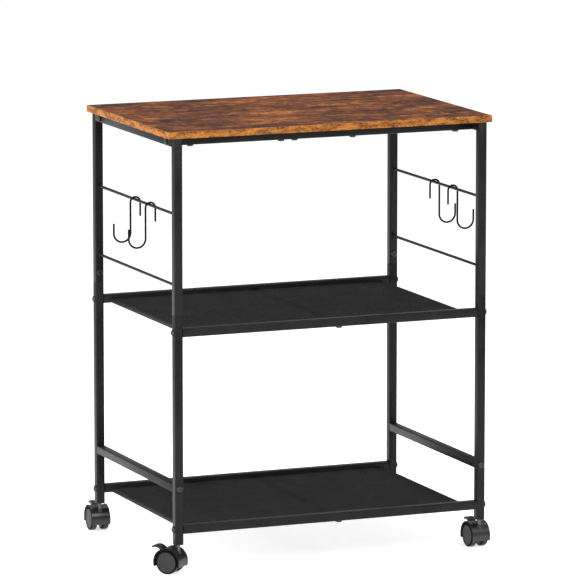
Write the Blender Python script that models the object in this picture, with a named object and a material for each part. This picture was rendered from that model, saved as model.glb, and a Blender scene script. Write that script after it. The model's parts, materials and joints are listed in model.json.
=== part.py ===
"""Mobile printer stand: a board on a bolted square-tube frame with two mesh decks, four rods, four hooks and
four braked twin-wheel castors.

Metres, +Z up. X runs along the long front edge and Y from front to back. The origin is on the floor, under the
middle of the whole outline. The castors trail to the back, so the frame's own middle stands FRAME_Y from it.
"""

import math

import bmesh
import bpy
from mathutils import Matrix, Vector

# Board and frame
BOARD_WIDTH = 0.600
BOARD_DEPTH = 0.400
BOARD_THICKNESS = 0.012
BOARD_EDGE_ROUND = 0.0008
FRAME_WIDTH = 0.580
FRAME_DEPTH = 0.400
FRAME_Y = -0.016
GAP = 0.0003
SMOOTH_ANGLE = math.radians(35)

# Square tube
TUBE = 0.015
TUBE_WALL = 0.0012
TUBE_CORNER = 0.0016
CORNER_POINTS = 3

# Heights above the floor
LEG_BOTTOM = 0.051
LEG_TOP = 0.751
LEG_JOINT_Z = 0.448
JOINT_BOLT_Z = 0.466
FOOT_RAIL_Z = 0.1487
MIDDLE_RAIL_Z = 0.4184
BOTTOM_RAIL_Z = 0.0772
ROD_HEIGHTS = {"upper": 0.6206, "lower": 0.4987}

# Legs
SPIGOT_LENGTH = 0.040
SPIGOT_SIDE = TUBE - 2 * TUBE_WALL - 2 * GAP
NUT_PLATE = 0.009

# Top rails
TOP_RAIL_SETBACK = 0.0375
BOARD_SCREW_X = (-0.247, -0.080, -0.055, 0.053, 0.246)
BOARD_SCREW_HOLE = 0.0024

# Bolts
BOLT_RADIUS = 0.003
BOLT_SIDES = 12
BOLT_HOLE = 0.0034
HOLE_SIDES = 10
BOLT_HEAD_RADIUS = 0.0057
BOLT_HEAD_HEIGHT = 0.0030
BOLT_HEAD_SIDE = 0.0015
BOLT_HEAD_SHOULDER = 0.0044
BOLT_HEAD_CROWN = 0.0004
BOLT_HEAD_FLAT = 0.0028
BOLT_LENGTH = 0.030
KEY_RADIUS = 0.0020
KEY_DEPTH = 0.0018

# Hanging rods and hooks
ROD_RADIUS = 0.0025
ROD_SIDES = 12
HOOK_WIRE = 0.0017
HOOK_TOP_RADIUS = 0.0090
HOOK_LOW_RADIUS = 0.0154
HOOK_LOW_CENTRE_DROP = 0.0622
HOOK_INNER_TAIL = 0.0247
HOOK_OUTER_TAIL = 0.0175
HOOK_TOP_STEPS = 10
HOOK_LOW_STEPS = 12
HOOK_PLACES = {
    "left_back": (-1, 0.007),
    "left_front": (-1, -0.066),
    "right_back": (1, 0.005),
    "right_front": (1, -0.073),
}

# Mesh decks, heights from the rail's underside
DECK_INSET = 0.0130
DECK_SHEET_TOP = 0.0070
DECK_SHEET_BOTTOM = 0.0058
DECK_BORDER = 0.0050
DECK_BORDER_BOTTOM = 0.0004
DECK_BRACE_X = 0.0154
DECK_BRACE_WIDTH = 0.013
DECK_BRACE_BOTTOM = 0.0030

# Castors: X along the axle, Y the way the wheels trail, Z up from the floor
TRAIL = 0.0148
WHEEL_RADIUS = 0.0205
WHEEL_SIDES = 26
WHEEL_INNER = 0.0050
WHEEL_OUTER = 0.0166
WHEEL_SHOULDER = 0.0026
WHEEL_EDGE = 0.0010
WHEEL_EDGE_SHARE = 0.975
WHEEL_FACE_SHARE = 0.90
WHEEL_DISH_SHARE = 0.80
FACE_DISH = 0.0008
AXLE_RADIUS = 0.0025
AXLE_HALF_LENGTH = 0.0132
WHEEL_BORE = 0.0029
BORE_END = 0.0136
HOOD_OUTER = 0.0250
HOOD_INNER = 0.0215
HOOD_HALF_WIDTH = 0.0170
HOOD_END_ANGLE = math.radians(20)
HOOD_STEPS = 24
WEB_HALF_WIDTH = 0.0047
WEB_SAG = 0.0090
WEB_SHOULDER = 0.0117
WEB_SHOULDER_ANGLE = math.radians(50)
PIN_SIDES = 16
STEM_RADIUS = 0.0040
STEM_STEP_Z = 0.0392
STEM_PIN_RADIUS = 0.0029
STEM_PIN_BOTTOM = 0.0230
STEM_TOP_IN_LEG = 0.0200
STEM_BORE = 0.0033
STEM_CHAMFER = 0.001
BORE_LENGTH = 0.040
LEVER_HALF_WIDTH = 0.0064
LEVER_PIVOT = (0.0279, 0.0365)
LEVER_HUB = 0.0044
LEVER_HUB_HALF_WIDTH = 0.0042
LEVER_NECK = ((0.0319, 0.0442), (0.0254, 0.0434))
LEVER_UPPER = ((0.0239, 0.0430), (0.0266, 0.0462), (0.0304, 0.0486), (0.0354, 0.0502), (0.0404, 0.0504),
               (0.0446, 0.0492), (0.0484, 0.0470))
LEVER_LOWER = ((0.0476, 0.0450), (0.0436, 0.0460), (0.0396, 0.0460), (0.0360, 0.0440), (0.0338, 0.0404))
LEVER_HUB_STEPS = 10
SLOT_HALF_WIDTH = 0.0070
SLOT_FROM = math.radians(26)
SLOT_TO = math.radians(78)
SLOT_REACH = 0.0300
SLOT_STEPS = 8
POCKET_RADIUS = 0.0106
POCKET_STEPS = 4
CASTOR_HEADINGS = {
    "front_left": 41.0,
    "front_right": 2.0,
    "back_left": -2.5,
    "back_right": -8.0,
}
SIDES = {
    "front_left": (-1, -1),
    "front_right": (1, -1),
    "back_left": (-1, 1),
    "back_right": (1, 1),
}

LEG_X = FRAME_WIDTH / 2 - TUBE / 2
LEG_Y = FRAME_DEPTH / 2 - TUBE / 2
INNER_X = FRAME_WIDTH / 2 - TUBE
INNER_Y = FRAME_DEPTH / 2 - TUBE
TOP_RAIL_Z = LEG_TOP - TUBE / 2
TOP_RAIL_Y = FRAME_DEPTH / 2 - TOP_RAIL_SETBACK


def clear_scene():
    """Remove every object, so that only this model is left."""
    for obj in list(bpy.data.objects):
        bpy.data.objects.remove(obj, do_unlink=True)


def make_material(name, colour, roughness, metallic):
    """A Principled material with one colour."""
    material = bpy.data.materials.new(name)
    material.use_nodes = True
    shader = material.node_tree.nodes["Principled BSDF"]
    shader.inputs["Base Color"].default_value = (*colour, 1.0)
    shader.inputs["Roughness"].default_value = roughness
    shader.inputs["Metallic"].default_value = metallic
    material.diffuse_color = (*colour, 1.0)
    return material


def finish_mesh(name, bm, smooth_angle=None):
    """Turn a bmesh into a mesh with its faces pointing out, smooth below the given angle."""
    bmesh.ops.recalc_face_normals(bm, faces=bm.faces)
    mesh = bpy.data.meshes.new(name)
    bm.to_mesh(mesh)
    bm.free()
    if smooth_angle is not None:
        mesh.shade_smooth()
        mesh.set_sharp_from_angle(angle=smooth_angle)
    return mesh


def place(name, mesh, material, parent, location=(0, 0, 0), rotation=(0, 0, 0)):
    """Add one named piece to the scene. The mesh may be shared with other pieces."""
    obj = bpy.data.objects.new(name, mesh)
    bpy.context.scene.collection.objects.link(obj)
    if not mesh.materials:
        mesh.materials.append(material)
    obj.parent = parent
    obj.location = location
    obj.rotation_euler = rotation
    return obj


def place_cutter(name, bm):
    """Add a hidden helper that a Boolean cuts with."""
    obj = bpy.data.objects.new(name, finish_mesh(name, bm))
    bpy.context.scene.collection.objects.link(obj)
    obj.hide_render = True
    obj.display_type = "WIRE"
    return obj


def boolean(obj, other, operation):
    """Give the piece a live Boolean modifier."""
    modifier = obj.modifiers.new(operation.title(), "BOOLEAN")
    modifier.operation = operation
    modifier.object = other


def baked(name, obj, smooth_angle):
    """The evaluated mesh of a helper, which is then removed."""
    bpy.context.view_layer.update()
    evaluated = obj.evaluated_get(bpy.context.evaluated_depsgraph_get())
    mesh = bpy.data.meshes.new_from_object(evaluated)
    mesh.name = name
    mesh.materials.clear()
    mesh.shade_smooth()
    mesh.set_sharp_from_angle(angle=smooth_angle)
    bpy.data.objects.remove(obj, do_unlink=True)
    return mesh


def square_loop(side, corner, z):
    """Points around a square with rounded corners, centred on the Z axis."""
    centre = side / 2 - corner
    points = []
    for turn in range(4):
        middle = math.radians(45 + 90 * turn)
        sign_x = math.copysign(1, math.cos(middle))
        sign_y = math.copysign(1, math.sin(middle))
        for step in range(CORNER_POINTS):
            angle = math.radians(90 * turn + 90 * step / (CORNER_POINTS - 1))
            x = sign_x * centre + corner * math.cos(angle)
            y = sign_y * centre + corner * math.sin(angle)
            points.append(Vector((x, y, z)))
    return points


def round_loop(radius, z):
    """Points around a circle, evenly spaced, that pair with those of square_loop."""
    count = 4 * CORNER_POINTS
    angles = [math.tau * (index + 0.5) / count for index in range(count)]
    return [Vector((radius * math.cos(a), radius * math.sin(a), z)) for a in angles]


def ring_of_loops(loops):
    """Join loops of equal length one after the other, and the last to the first, into one hollow solid."""
    bm = bmesh.new()
    rows = [[bm.verts.new(point) for point in loop] for loop in loops]
    for low, high in zip(rows, rows[1:] + rows[:1]):
        for index in range(len(low)):
            after = (index + 1) % len(low)
            bm.faces.new((low[index], low[after], high[after], high[index]))
    return bm


def tube_bmesh(length):
    """A straight square tube along Z, centred on the origin."""
    bore = TUBE - 2 * TUBE_WALL
    bore_corner = TUBE_CORNER - TUBE_WALL
    return ring_of_loops([
        square_loop(TUBE, TUBE_CORNER, -length / 2),
        square_loop(TUBE, TUBE_CORNER, length / 2),
        square_loop(bore, bore_corner, length / 2),
        square_loop(bore, bore_corner, -length / 2),
    ])


def add_cylinder(bm, radius, length, matrix, segments):
    """Add a solid cylinder along the matrix's Z axis."""
    bmesh.ops.create_cone(bm, cap_ends=True, segments=segments, radius1=radius, radius2=radius,
                          depth=length, matrix=matrix)


def across_x(x, y, z):
    """A matrix at a point, with its Z axis turned along X."""
    return Matrix.Translation((x, y, z)) @ Matrix.Rotation(math.pi / 2, 4, "Y")


def across_y(x, y, z):
    """A matrix at a point, with its Z axis turned along Y."""
    return Matrix.Translation((x, y, z)) @ Matrix.Rotation(math.pi / 2, 4, "X")


def drilled(name, bm, holes):
    """A mesh with holes: (matrix, radius, length) each."""
    cutters = bmesh.new()
    for matrix, radius, length in holes:
        add_cylinder(cutters, radius, length, matrix, HOLE_SIDES)
    cutter = place_cutter(name + "_drill", cutters)
    blank = bpy.data.objects.new(name + "_blank", finish_mesh(name, bm))
    bpy.context.scene.collection.objects.link(blank)
    boolean(blank, cutter, "DIFFERENCE")
    mesh = baked(name, blank, SMOOTH_ANGLE)
    bpy.data.objects.remove(cutter, do_unlink=True)
    return mesh


def extruded(points, half_width):
    """A solid from an outline in the YZ plane, spread to both sides along X."""
    bm = bmesh.new()
    outline = [bm.verts.new((-half_width, y, z)) for y, z in points]
    face = bm.faces.new(outline)
    swept = bmesh.ops.extrude_face_region(bm, geom=[face])
    moved = [item for item in swept["geom"] if isinstance(item, bmesh.types.BMVert)]
    bmesh.ops.translate(bm, verts=moved, vec=(2 * half_width, 0, 0))
    return bm


def lathed(profile, segments):
    """A solid turned about the X axis from an outline of (along, radius) that starts and ends on the axis."""
    bm = bmesh.new()
    verts = [bm.verts.new((along, 0, radius)) for along, radius in profile]
    edges = [bm.edges.new(pair) for pair in zip(verts, verts[1:])]
    bmesh.ops.spin(bm, geom=verts + edges, cent=(0, 0, 0), axis=(1, 0, 0), angle=math.tau,
                   steps=segments, use_merge=True, use_duplicate=False)
    bmesh.ops.remove_doubles(bm, verts=bm.verts, dist=1e-6)
    return bm


def build_board(material, parent):
    """The wooden board, with its edges just broken."""
    bm = bmesh.new()
    bmesh.ops.create_cube(bm, size=1.0)
    thickness = BOARD_THICKNESS - GAP
    bmesh.ops.scale(bm, vec=(BOARD_WIDTH, BOARD_DEPTH, thickness), verts=bm.verts)
    bmesh.ops.bevel(bm, geom=bm.edges[:], offset=BOARD_EDGE_ROUND, segments=2, profile=0.5,
                    affect="EDGES")
    middle = LEG_TOP + GAP + thickness / 2
    place("tabletop", finish_mesh("tabletop", bm, SMOOTH_ANGLE), material, parent, (0, 0, middle))


def upper_leg_mesh():
    """The upper half of a leg, with one hole for the joint bolt in its +Y wall."""
    bottom = LEG_JOINT_Z + GAP
    bm = tube_bmesh(LEG_TOP - bottom)
    bolt_z = JOINT_BOLT_Z - (LEG_TOP + bottom) / 2
    hole = (across_y(0, TUBE / 2, bolt_z), BOLT_HOLE, 4 * TUBE_WALL)
    return drilled("upper_leg", bm, [hole])


def lower_leg_mesh():
    """The lower half of a leg: a nut plate closes its foot and a spigot stands out of its top."""
    bore = TUBE - 2 * TUBE_WALL
    bore_corner = TUBE_CORNER - TUBE_WALL
    spigot_top = LEG_JOINT_Z + SPIGOT_LENGTH
    spigot_bore = SPIGOT_SIDE - 2 * TUBE_WALL
    plate_top = LEG_BOTTOM + NUT_PLATE
    stem_hole = STEM_RADIUS + 2 * GAP
    bm = ring_of_loops([
        square_loop(TUBE, TUBE_CORNER, LEG_BOTTOM),
        square_loop(TUBE, TUBE_CORNER, LEG_JOINT_Z),
        square_loop(SPIGOT_SIDE, bore_corner, LEG_JOINT_Z),
        square_loop(SPIGOT_SIDE, bore_corner, spigot_top),
        square_loop(spigot_bore, bore_corner, spigot_top),
        square_loop(spigot_bore, bore_corner, LEG_JOINT_Z - TUBE_WALL),
        square_loop(bore, bore_corner, LEG_JOINT_Z - 2 * TUBE_WALL),
        square_loop(bore, bore_corner, plate_top),
        round_loop(stem_hole, plate_top),
        round_loop(stem_hole, LEG_BOTTOM),
    ])
    holes = [(across_x(0, 0, z), BOLT_HOLE, 2 * TUBE) for z in (BOTTOM_RAIL_Z, MIDDLE_RAIL_Z)]
    holes.append((across_y(0, 0, FOOT_RAIL_Z), BOLT_HOLE, 2 * TUBE))
    holes.append((across_y(0, SPIGOT_SIDE / 2, JOINT_BOLT_Z), BOLT_HOLE, 4 * TUBE_WALL))
    return drilled("lower_leg", bm, holes)


def build_legs(material, parent):
    """Four legs, each an upper tube over the spigot of a lower one. The joint bolts face each other."""
    upper = upper_leg_mesh()
    lower = lower_leg_mesh()
    upper_middle = (LEG_TOP + LEG_JOINT_Z + GAP) / 2
    for corner, (side_x, side_y) in SIDES.items():
        turn = (0, 0, math.pi if side_y > 0 else 0)
        spot = (side_x * LEG_X, side_y * LEG_Y)
        place(corner + "_upper_leg", upper, material, parent, (*spot, upper_middle), turn)
        place(corner + "_lower_leg", lower, material, parent, (*spot, 0), turn)


def build_top_rails(material, parent):
    """Side rails between the legs, and front and back rails bolted between the side rails."""
    side_length = 2 * (INNER_Y - GAP)
    bolt_spots = (-TOP_RAIL_Y, TOP_RAIL_Y)
    side_holes = [(across_x(0, 0, y), BOLT_HOLE, 2 * TUBE) for y in bolt_spots]
    side = drilled("top_side_rail", tube_bmesh(side_length), side_holes)
    cross_length = 2 * (INNER_X - GAP)
    screw_holes = [(across_x(0, 0, x), BOARD_SCREW_HOLE, 2 * TUBE) for x in BOARD_SCREW_X]
    cross = drilled("top_cross_rail", tube_bmesh(cross_length), screw_holes)
    for name, sign in (("left", -1), ("right", 1)):
        place(name + "_top_rail", side, material, parent, (sign * LEG_X, 0, TOP_RAIL_Z), (-math.pi / 2, 0, 0))
    for name, sign in (("front", -1), ("back", 1)):
        place(name + "_top_rail", cross, material, parent, (0, sign * TOP_RAIL_Y, TOP_RAIL_Z), (0, math.pi / 2, 0))


def build_shelf_rails(material, parent):
    """The front and back rails of both decks, and the foot rails at the sides."""
    along = finish_mesh("shelf_rail", tube_bmesh(2 * (INNER_X - GAP)), SMOOTH_ANGLE)
    for deck, z in (("middle", MIDDLE_RAIL_Z), ("bottom", BOTTOM_RAIL_Z)):
        for name, sign in (("front", -1), ("back", 1)):
            place(f"{deck}_shelf_{name}_rail", along, material, parent, (0, sign * LEG_Y, z), (0, math.pi / 2, 0))
    foot = finish_mesh("foot_rail", tube_bmesh(2 * (INNER_Y - GAP)), SMOOTH_ANGLE)
    for name, sign in (("left", -1), ("right", 1)):
        place(name + "_foot_rail", foot, material, parent, (sign * LEG_X, 0, FOOT_RAIL_Z), (math.pi / 2, 0, 0))


def build_decks(material, parent):
    """The mesh decks as thin sheets with a border wire's bead at each side and a brace below."""
    edge = INNER_X - DECK_INSET
    border = edge - DECK_BORDER
    brace_left = DECK_BRACE_X - DECK_BRACE_WIDTH / 2
    brace_right = DECK_BRACE_X + DECK_BRACE_WIDTH / 2
    outline = [
        (-edge, DECK_SHEET_TOP), (-edge, DECK_BORDER_BOTTOM), (-border, DECK_BORDER_BOTTOM),
        (-border, DECK_SHEET_BOTTOM), (brace_left, DECK_SHEET_BOTTOM), (brace_left, DECK_BRACE_BOTTOM),
        (brace_right, DECK_BRACE_BOTTOM), (brace_right, DECK_SHEET_BOTTOM), (border, DECK_SHEET_BOTTOM),
        (border, DECK_BORDER_BOTTOM), (edge, DECK_BORDER_BOTTOM), (edge, DECK_SHEET_TOP),
    ]
    mesh = finish_mesh("mesh_deck", extruded(outline, INNER_Y - GAP))
    for deck, z in (("middle", MIDDLE_RAIL_Z), ("bottom", BOTTOM_RAIL_Z)):
        place(deck + "_mesh_deck", mesh, material, parent, (0, 0, z - TUBE / 2), (0, 0, -math.pi / 2))


def build_rods(material, parent):
    """Two thin rods on each side, from leg to leg."""
    bm = bmesh.new()
    add_cylinder(bm, ROD_RADIUS, 2 * (INNER_Y - GAP), across_y(0, 0, 0), ROD_SIDES)
    mesh = finish_mesh("hanging_rod", bm, SMOOTH_ANGLE)
    for side, sign in (("left", -1), ("right", 1)):
        for level, z in ROD_HEIGHTS.items():
            place(f"{side}_{level}_rod", mesh, material, parent, (sign * LEG_X, 0, z))


def arc(centre_x, centre_z, radius, start, end, steps):
    """Points on an arc in the XZ plane, angles in degrees from +X."""
    points = []
    for step in range(steps + 1):
        angle = math.radians(start + (end - start) * step / steps)
        points.append((centre_x + radius * math.cos(angle), centre_z + radius * math.sin(angle)))
    return points


def hook_route():
    """The middle line of a hook on the right-hand rod, from its inner tail to its outer tail.

    The rod is at the origin and the wire's crown rests on it.
    """
    crown_z = ROD_RADIUS + HOOK_WIRE + GAP - HOOK_TOP_RADIUS
    low_x = HOOK_TOP_RADIUS + HOOK_LOW_RADIUS
    low_z = crown_z + HOOK_TOP_RADIUS - HOOK_LOW_CENTRE_DROP
    route = [(-HOOK_TOP_RADIUS, crown_z - HOOK_INNER_TAIL)]
    route += arc(0, crown_z, HOOK_TOP_RADIUS, 180, 0, HOOK_TOP_STEPS)
    route += arc(low_x, low_z, HOOK_LOW_RADIUS, 180, 360, HOOK_LOW_STEPS)
    route.append((low_x + HOOK_LOW_RADIUS, low_z + HOOK_OUTER_TAIL))
    return route


def hook_curve(name, sign):
    """A bent wire hook as a bevelled curve. The sign mirrors it to the left-hand side."""
    curve = bpy.data.curves.new(name, "CURVE")
    curve.dimensions = "3D"
    curve.bevel_depth = HOOK_WIRE
    curve.bevel_resolution = 2
    curve.use_fill_caps = True
    route = hook_route()
    spline = curve.splines.new("POLY")
    spline.points.add(len(route) - 1)
    for point, (x, z) in zip(spline.points, route):
        point.co = (sign * x, 0, z, 1)
    spline.use_smooth = True
    return curve


def build_hooks(material, parent):
    """Four hooks on the upper rods, each with its origin on the rod's axis."""
    for spot, (sign, y) in HOOK_PLACES.items():
        place(spot + "_hook", hook_curve(spot + "_hook", sign), material, parent,
              (sign * LEG_X, y, ROD_HEIGHTS["upper"]))


def bolt_mesh():
    """A round-headed bolt with a key recess, along -X from the underside of its head."""
    profile = [
        (-BOLT_LENGTH, 0), (-BOLT_LENGTH, BOLT_RADIUS), (0, BOLT_RADIUS), (0, BOLT_HEAD_RADIUS),
        (BOLT_HEAD_SIDE, BOLT_HEAD_RADIUS), (BOLT_HEAD_HEIGHT - BOLT_HEAD_CROWN, BOLT_HEAD_SHOULDER),
        (BOLT_HEAD_HEIGHT, BOLT_HEAD_FLAT), (BOLT_HEAD_HEIGHT, KEY_RADIUS),
        (BOLT_HEAD_HEIGHT - KEY_DEPTH, KEY_RADIUS), (BOLT_HEAD_HEIGHT - KEY_DEPTH, 0),
    ]
    return finish_mesh("rail_bolt", lathed(profile, BOLT_SIDES), SMOOTH_ANGLE)


def build_foot_bolts(material, parent):
    """One bolt through each leg into the end of its foot rail."""
    mesh = bolt_mesh()
    for corner, (side_x, side_y) in SIDES.items():
        spot = (side_x * LEG_X, side_y * (FRAME_DEPTH / 2 + GAP), FOOT_RAIL_Z)
        place(corner + "_foot_rail_bolt", mesh, material, parent, spot, (0, 0, side_y * math.pi / 2))


def around_axle(radius, angle):
    """A point in the castor's YZ plane, at an angle above the way it trails."""
    return (TRAIL + radius * math.cos(angle), WHEEL_RADIUS + radius * math.sin(angle))


def sweep(radius, start, end, steps):
    """Points around the axle from one angle to another."""
    return [around_axle(radius, start + (end - start) * step / steps) for step in range(steps + 1)]


def upright_at(bottom):
    """A matrix for a bore along the stem, BORE_LENGTH long, that starts at a height."""
    return Matrix.Translation((0, 0, bottom + BORE_LENGTH / 2))


def bore_cutter(name, radius, matrix):
    """A hidden cylinder that cuts one of the hood's bores."""
    bm = bmesh.new()
    add_cylinder(bm, radius, BORE_LENGTH, matrix, PIN_SIDES)
    return place_cutter(name, bm)


def hood_mesh():
    """The castor's body: an arched cover, and a web between the wheels that holds stem, axle and lever."""
    back = -HOOD_END_ANGLE
    front = math.pi + HOOD_END_ANGLE
    arch = sweep(HOOD_OUTER, back, front, HOOD_STEPS) + sweep(HOOD_INNER, front, back, HOOD_STEPS)
    cover = bpy.data.objects.new("cover", finish_mesh("cover", extruded(arch, HOOD_HALF_WIDTH)))
    bpy.context.scene.collection.objects.link(cover)
    down = 1.5 * math.pi
    web_outline = sweep((HOOD_OUTER + HOOD_INNER) / 2, back, front, HOOD_STEPS)
    web_outline.append(around_axle(WEB_SHOULDER, down - WEB_SHOULDER_ANGLE))
    web_outline.append(around_axle(WEB_SAG, down))
    web_outline.append(around_axle(WEB_SHOULDER, down + WEB_SHOULDER_ANGLE))
    web = place_cutter("web", extruded(web_outline, WEB_HALF_WIDTH))
    boolean(cover, web, "UNION")
    cutters = [bore_cutter("stem_bore", STEM_BORE, upright_at(STEM_PIN_BOTTOM - GAP)),
               bore_cutter("shank_bore", STEM_RADIUS + GAP, upright_at(STEM_STEP_Z - GAP)),
               bore_cutter("axle_bore", AXLE_RADIUS + GAP, across_x(0, TRAIL, WHEEL_RADIUS))]
    slot_outline = sweep(SLOT_REACH, SLOT_FROM, SLOT_TO, SLOT_STEPS)
    slot_outline += sweep(POCKET_RADIUS, SLOT_TO, SLOT_FROM, POCKET_STEPS)
    cutters.append(place_cutter("slot", extruded(slot_outline, SLOT_HALF_WIDTH)))
    for cutter in cutters:
        boolean(cover, cutter, "DIFFERENCE")
    mesh = baked("castor_hood", cover, SMOOTH_ANGLE)
    for helper in (web, *cutters):
        bpy.data.objects.remove(helper, do_unlink=True)
    return mesh


def wheel_mesh():
    """A wheel on the +X side of the castor, with a rounded tread, a dished face and a blind bore."""
    r = WHEEL_RADIUS
    profile = [
        (BORE_END, 0), (BORE_END, WHEEL_BORE), (WHEEL_INNER, WHEEL_BORE), (WHEEL_INNER, WHEEL_FACE_SHARE * r),
        (WHEEL_INNER + WHEEL_EDGE, WHEEL_EDGE_SHARE * r), (WHEEL_INNER + WHEEL_SHOULDER, r),
        (WHEEL_OUTER - WHEEL_SHOULDER, r), (WHEEL_OUTER - WHEEL_EDGE, WHEEL_EDGE_SHARE * r),
        (WHEEL_OUTER, WHEEL_FACE_SHARE * r), (WHEEL_OUTER, WHEEL_DISH_SHARE * r + FACE_DISH),
        (WHEEL_OUTER - FACE_DISH, WHEEL_DISH_SHARE * r), (WHEEL_OUTER - FACE_DISH, 0),
    ]
    return finish_mesh("castor_wheel", lathed(profile, WHEEL_SIDES), SMOOTH_ANGLE)


def stem_mesh():
    """The steel stem: a thick shank screwed into the leg, and a thinner pin that the hood turns on."""
    top = LEG_BOTTOM + STEM_TOP_IN_LEG
    profile = [
        (STEM_PIN_BOTTOM, 0), (STEM_PIN_BOTTOM, STEM_PIN_RADIUS), (STEM_STEP_Z, STEM_PIN_RADIUS),
        (STEM_STEP_Z, STEM_RADIUS), (top - STEM_CHAMFER, STEM_RADIUS), (top, STEM_RADIUS - STEM_CHAMFER), (top, 0),
    ]
    bm = lathed(profile, PIN_SIDES)
    bmesh.ops.rotate(bm, cent=(0, 0, 0), matrix=Matrix.Rotation(-math.pi / 2, 3, "Y"), verts=bm.verts)
    return finish_mesh("castor_stem", bm, SMOOTH_ANGLE)


def lever_mesh():
    """The brake lever: a curved tab on a narrow round hub, with the pivot's axis through the origin."""
    pivot_y, pivot_z = LEVER_PIVOT
    tab = [(y - pivot_y, z - pivot_z) for y, z in (*LEVER_UPPER, *LEVER_LOWER)]
    hub = [(y - pivot_y, z - pivot_z) for y, z in LEVER_NECK]
    for step in range(LEVER_HUB_STEPS + 1):
        angle = math.pi * (1 + step / LEVER_HUB_STEPS)
        hub.append((LEVER_HUB * math.cos(angle), LEVER_HUB * math.sin(angle)))
    lever = bpy.data.objects.new("lever", finish_mesh("lever", extruded(tab, LEVER_HALF_WIDTH)))
    bpy.context.scene.collection.objects.link(lever)
    helper = place_cutter("lever_hub", extruded(hub, LEVER_HUB_HALF_WIDTH))
    boolean(lever, helper, "UNION")
    mesh = baked("brake_lever", lever, SMOOTH_ANGLE)
    bpy.data.objects.remove(helper, do_unlink=True)
    return mesh


def axle_mesh():
    """The axle, which both wheels turn on."""
    bm = bmesh.new()
    add_cylinder(bm, AXLE_RADIUS, 2 * AXLE_HALF_LENGTH, across_x(0, 0, 0), PIN_SIDES)
    return finish_mesh("castor_axle", bm, SMOOTH_ANGLE)


def build_castors(plastic, rubber, steel, parent):
    """Four castors, each on an empty that stands on the floor below its stem."""
    hood = hood_mesh()
    wheel = wheel_mesh()
    stem = stem_mesh()
    lever = lever_mesh()
    axle = axle_mesh()
    pivot_y, pivot_z = LEVER_PIVOT
    for corner, (side_x, side_y) in SIDES.items():
        castor = bpy.data.objects.new(corner + "_castor", None)
        bpy.context.scene.collection.objects.link(castor)
        castor.parent = parent
        castor.location = (side_x * LEG_X, side_y * LEG_Y, 0)
        castor.rotation_euler = (0, 0, math.radians(CASTOR_HEADINGS[corner]))
        axle_line = bpy.data.objects.new(corner + "_axle_line", None)
        bpy.context.scene.collection.objects.link(axle_line)
        axle_line.parent = castor
        axle_line.location = (0, TRAIL, WHEEL_RADIUS)
        place(corner + "_stem", stem, steel, castor)
        place(corner + "_hood", hood, plastic, castor)
        place(corner + "_axle", axle, steel, axle_line)
        place(corner + "_right_wheel", wheel, rubber, axle_line)
        place(corner + "_left_wheel", wheel, rubber, axle_line, rotation=(0, 0, math.pi))
        place(corner + "_brake_lever", lever, plastic, castor, (0, pivot_y, pivot_z))


def main():
    """Build the whole stand."""
    clear_scene()
    wood = make_material("rustic_board", (0.30, 0.13, 0.05), 0.5, 0.0)
    steel_paint = make_material("black_powder_coat", (0.02, 0.02, 0.022), 0.5, 0.0)
    mesh_paint = make_material("black_mesh", (0.03, 0.03, 0.032), 0.55, 0.0)
    wire = make_material("hook_wire", (0.03, 0.03, 0.032), 0.4, 0.0)
    bolt = make_material("black_bolt", (0.03, 0.03, 0.03), 0.4, 0.6)
    plastic = make_material("castor_plastic", (0.03, 0.03, 0.032), 0.4, 0.0)
    tread = make_material("wheel_plastic", (0.06, 0.06, 0.062), 0.5, 0.0)
    bare_steel = make_material("bare_steel", (0.35, 0.35, 0.36), 0.35, 1.0)
    stand = bpy.data.objects.new("stand", None)
    bpy.context.scene.collection.objects.link(stand)
    stand.location = (0, FRAME_Y, 0)
    build_board(wood, stand)
    build_legs(steel_paint, stand)
    build_top_rails(steel_paint, stand)
    build_shelf_rails(steel_paint, stand)
    build_decks(mesh_paint, stand)
    build_rods(steel_paint, stand)
    build_hooks(wire, stand)
    build_foot_bolts(bolt, stand)
    build_castors(plastic, tread, bare_steel, stand)


main()
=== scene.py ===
"""Looks of the mobile printer stand: finishes, tubes, woven decks, hooks, fasteners and castors.

Metres, +Z up. X runs along the long front edge and Y from front to back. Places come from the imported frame.
"""

import json
import logging
import math
from collections.abc import Callable, Iterable
from dataclasses import dataclass
from enum import Enum

import bmesh
import bpy
from mathutils import Matrix, Vector

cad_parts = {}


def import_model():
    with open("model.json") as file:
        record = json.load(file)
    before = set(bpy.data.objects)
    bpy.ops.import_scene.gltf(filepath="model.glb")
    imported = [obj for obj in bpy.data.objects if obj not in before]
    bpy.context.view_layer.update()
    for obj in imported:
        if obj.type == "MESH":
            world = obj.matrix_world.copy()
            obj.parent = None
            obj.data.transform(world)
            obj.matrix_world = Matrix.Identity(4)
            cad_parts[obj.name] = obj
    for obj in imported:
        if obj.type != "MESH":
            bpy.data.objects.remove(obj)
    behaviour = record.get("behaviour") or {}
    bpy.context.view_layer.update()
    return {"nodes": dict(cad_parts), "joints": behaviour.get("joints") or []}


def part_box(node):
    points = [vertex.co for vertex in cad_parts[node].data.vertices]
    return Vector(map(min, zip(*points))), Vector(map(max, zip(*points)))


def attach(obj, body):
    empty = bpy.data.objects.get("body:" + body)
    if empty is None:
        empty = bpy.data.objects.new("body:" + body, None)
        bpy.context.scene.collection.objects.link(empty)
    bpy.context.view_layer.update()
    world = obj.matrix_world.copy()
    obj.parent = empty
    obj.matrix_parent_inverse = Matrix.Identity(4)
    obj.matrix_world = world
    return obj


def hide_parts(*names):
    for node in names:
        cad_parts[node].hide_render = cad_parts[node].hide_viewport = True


LOG = logging.getLogger("printer_stand")
GAP = 0.0003
AIM_HEIGHT = 0.449
TINY = 1e-6
ALONG = 0.99
Colour = tuple[float, float, float]
Test = Callable[[Vector, Vector], bool]


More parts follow.
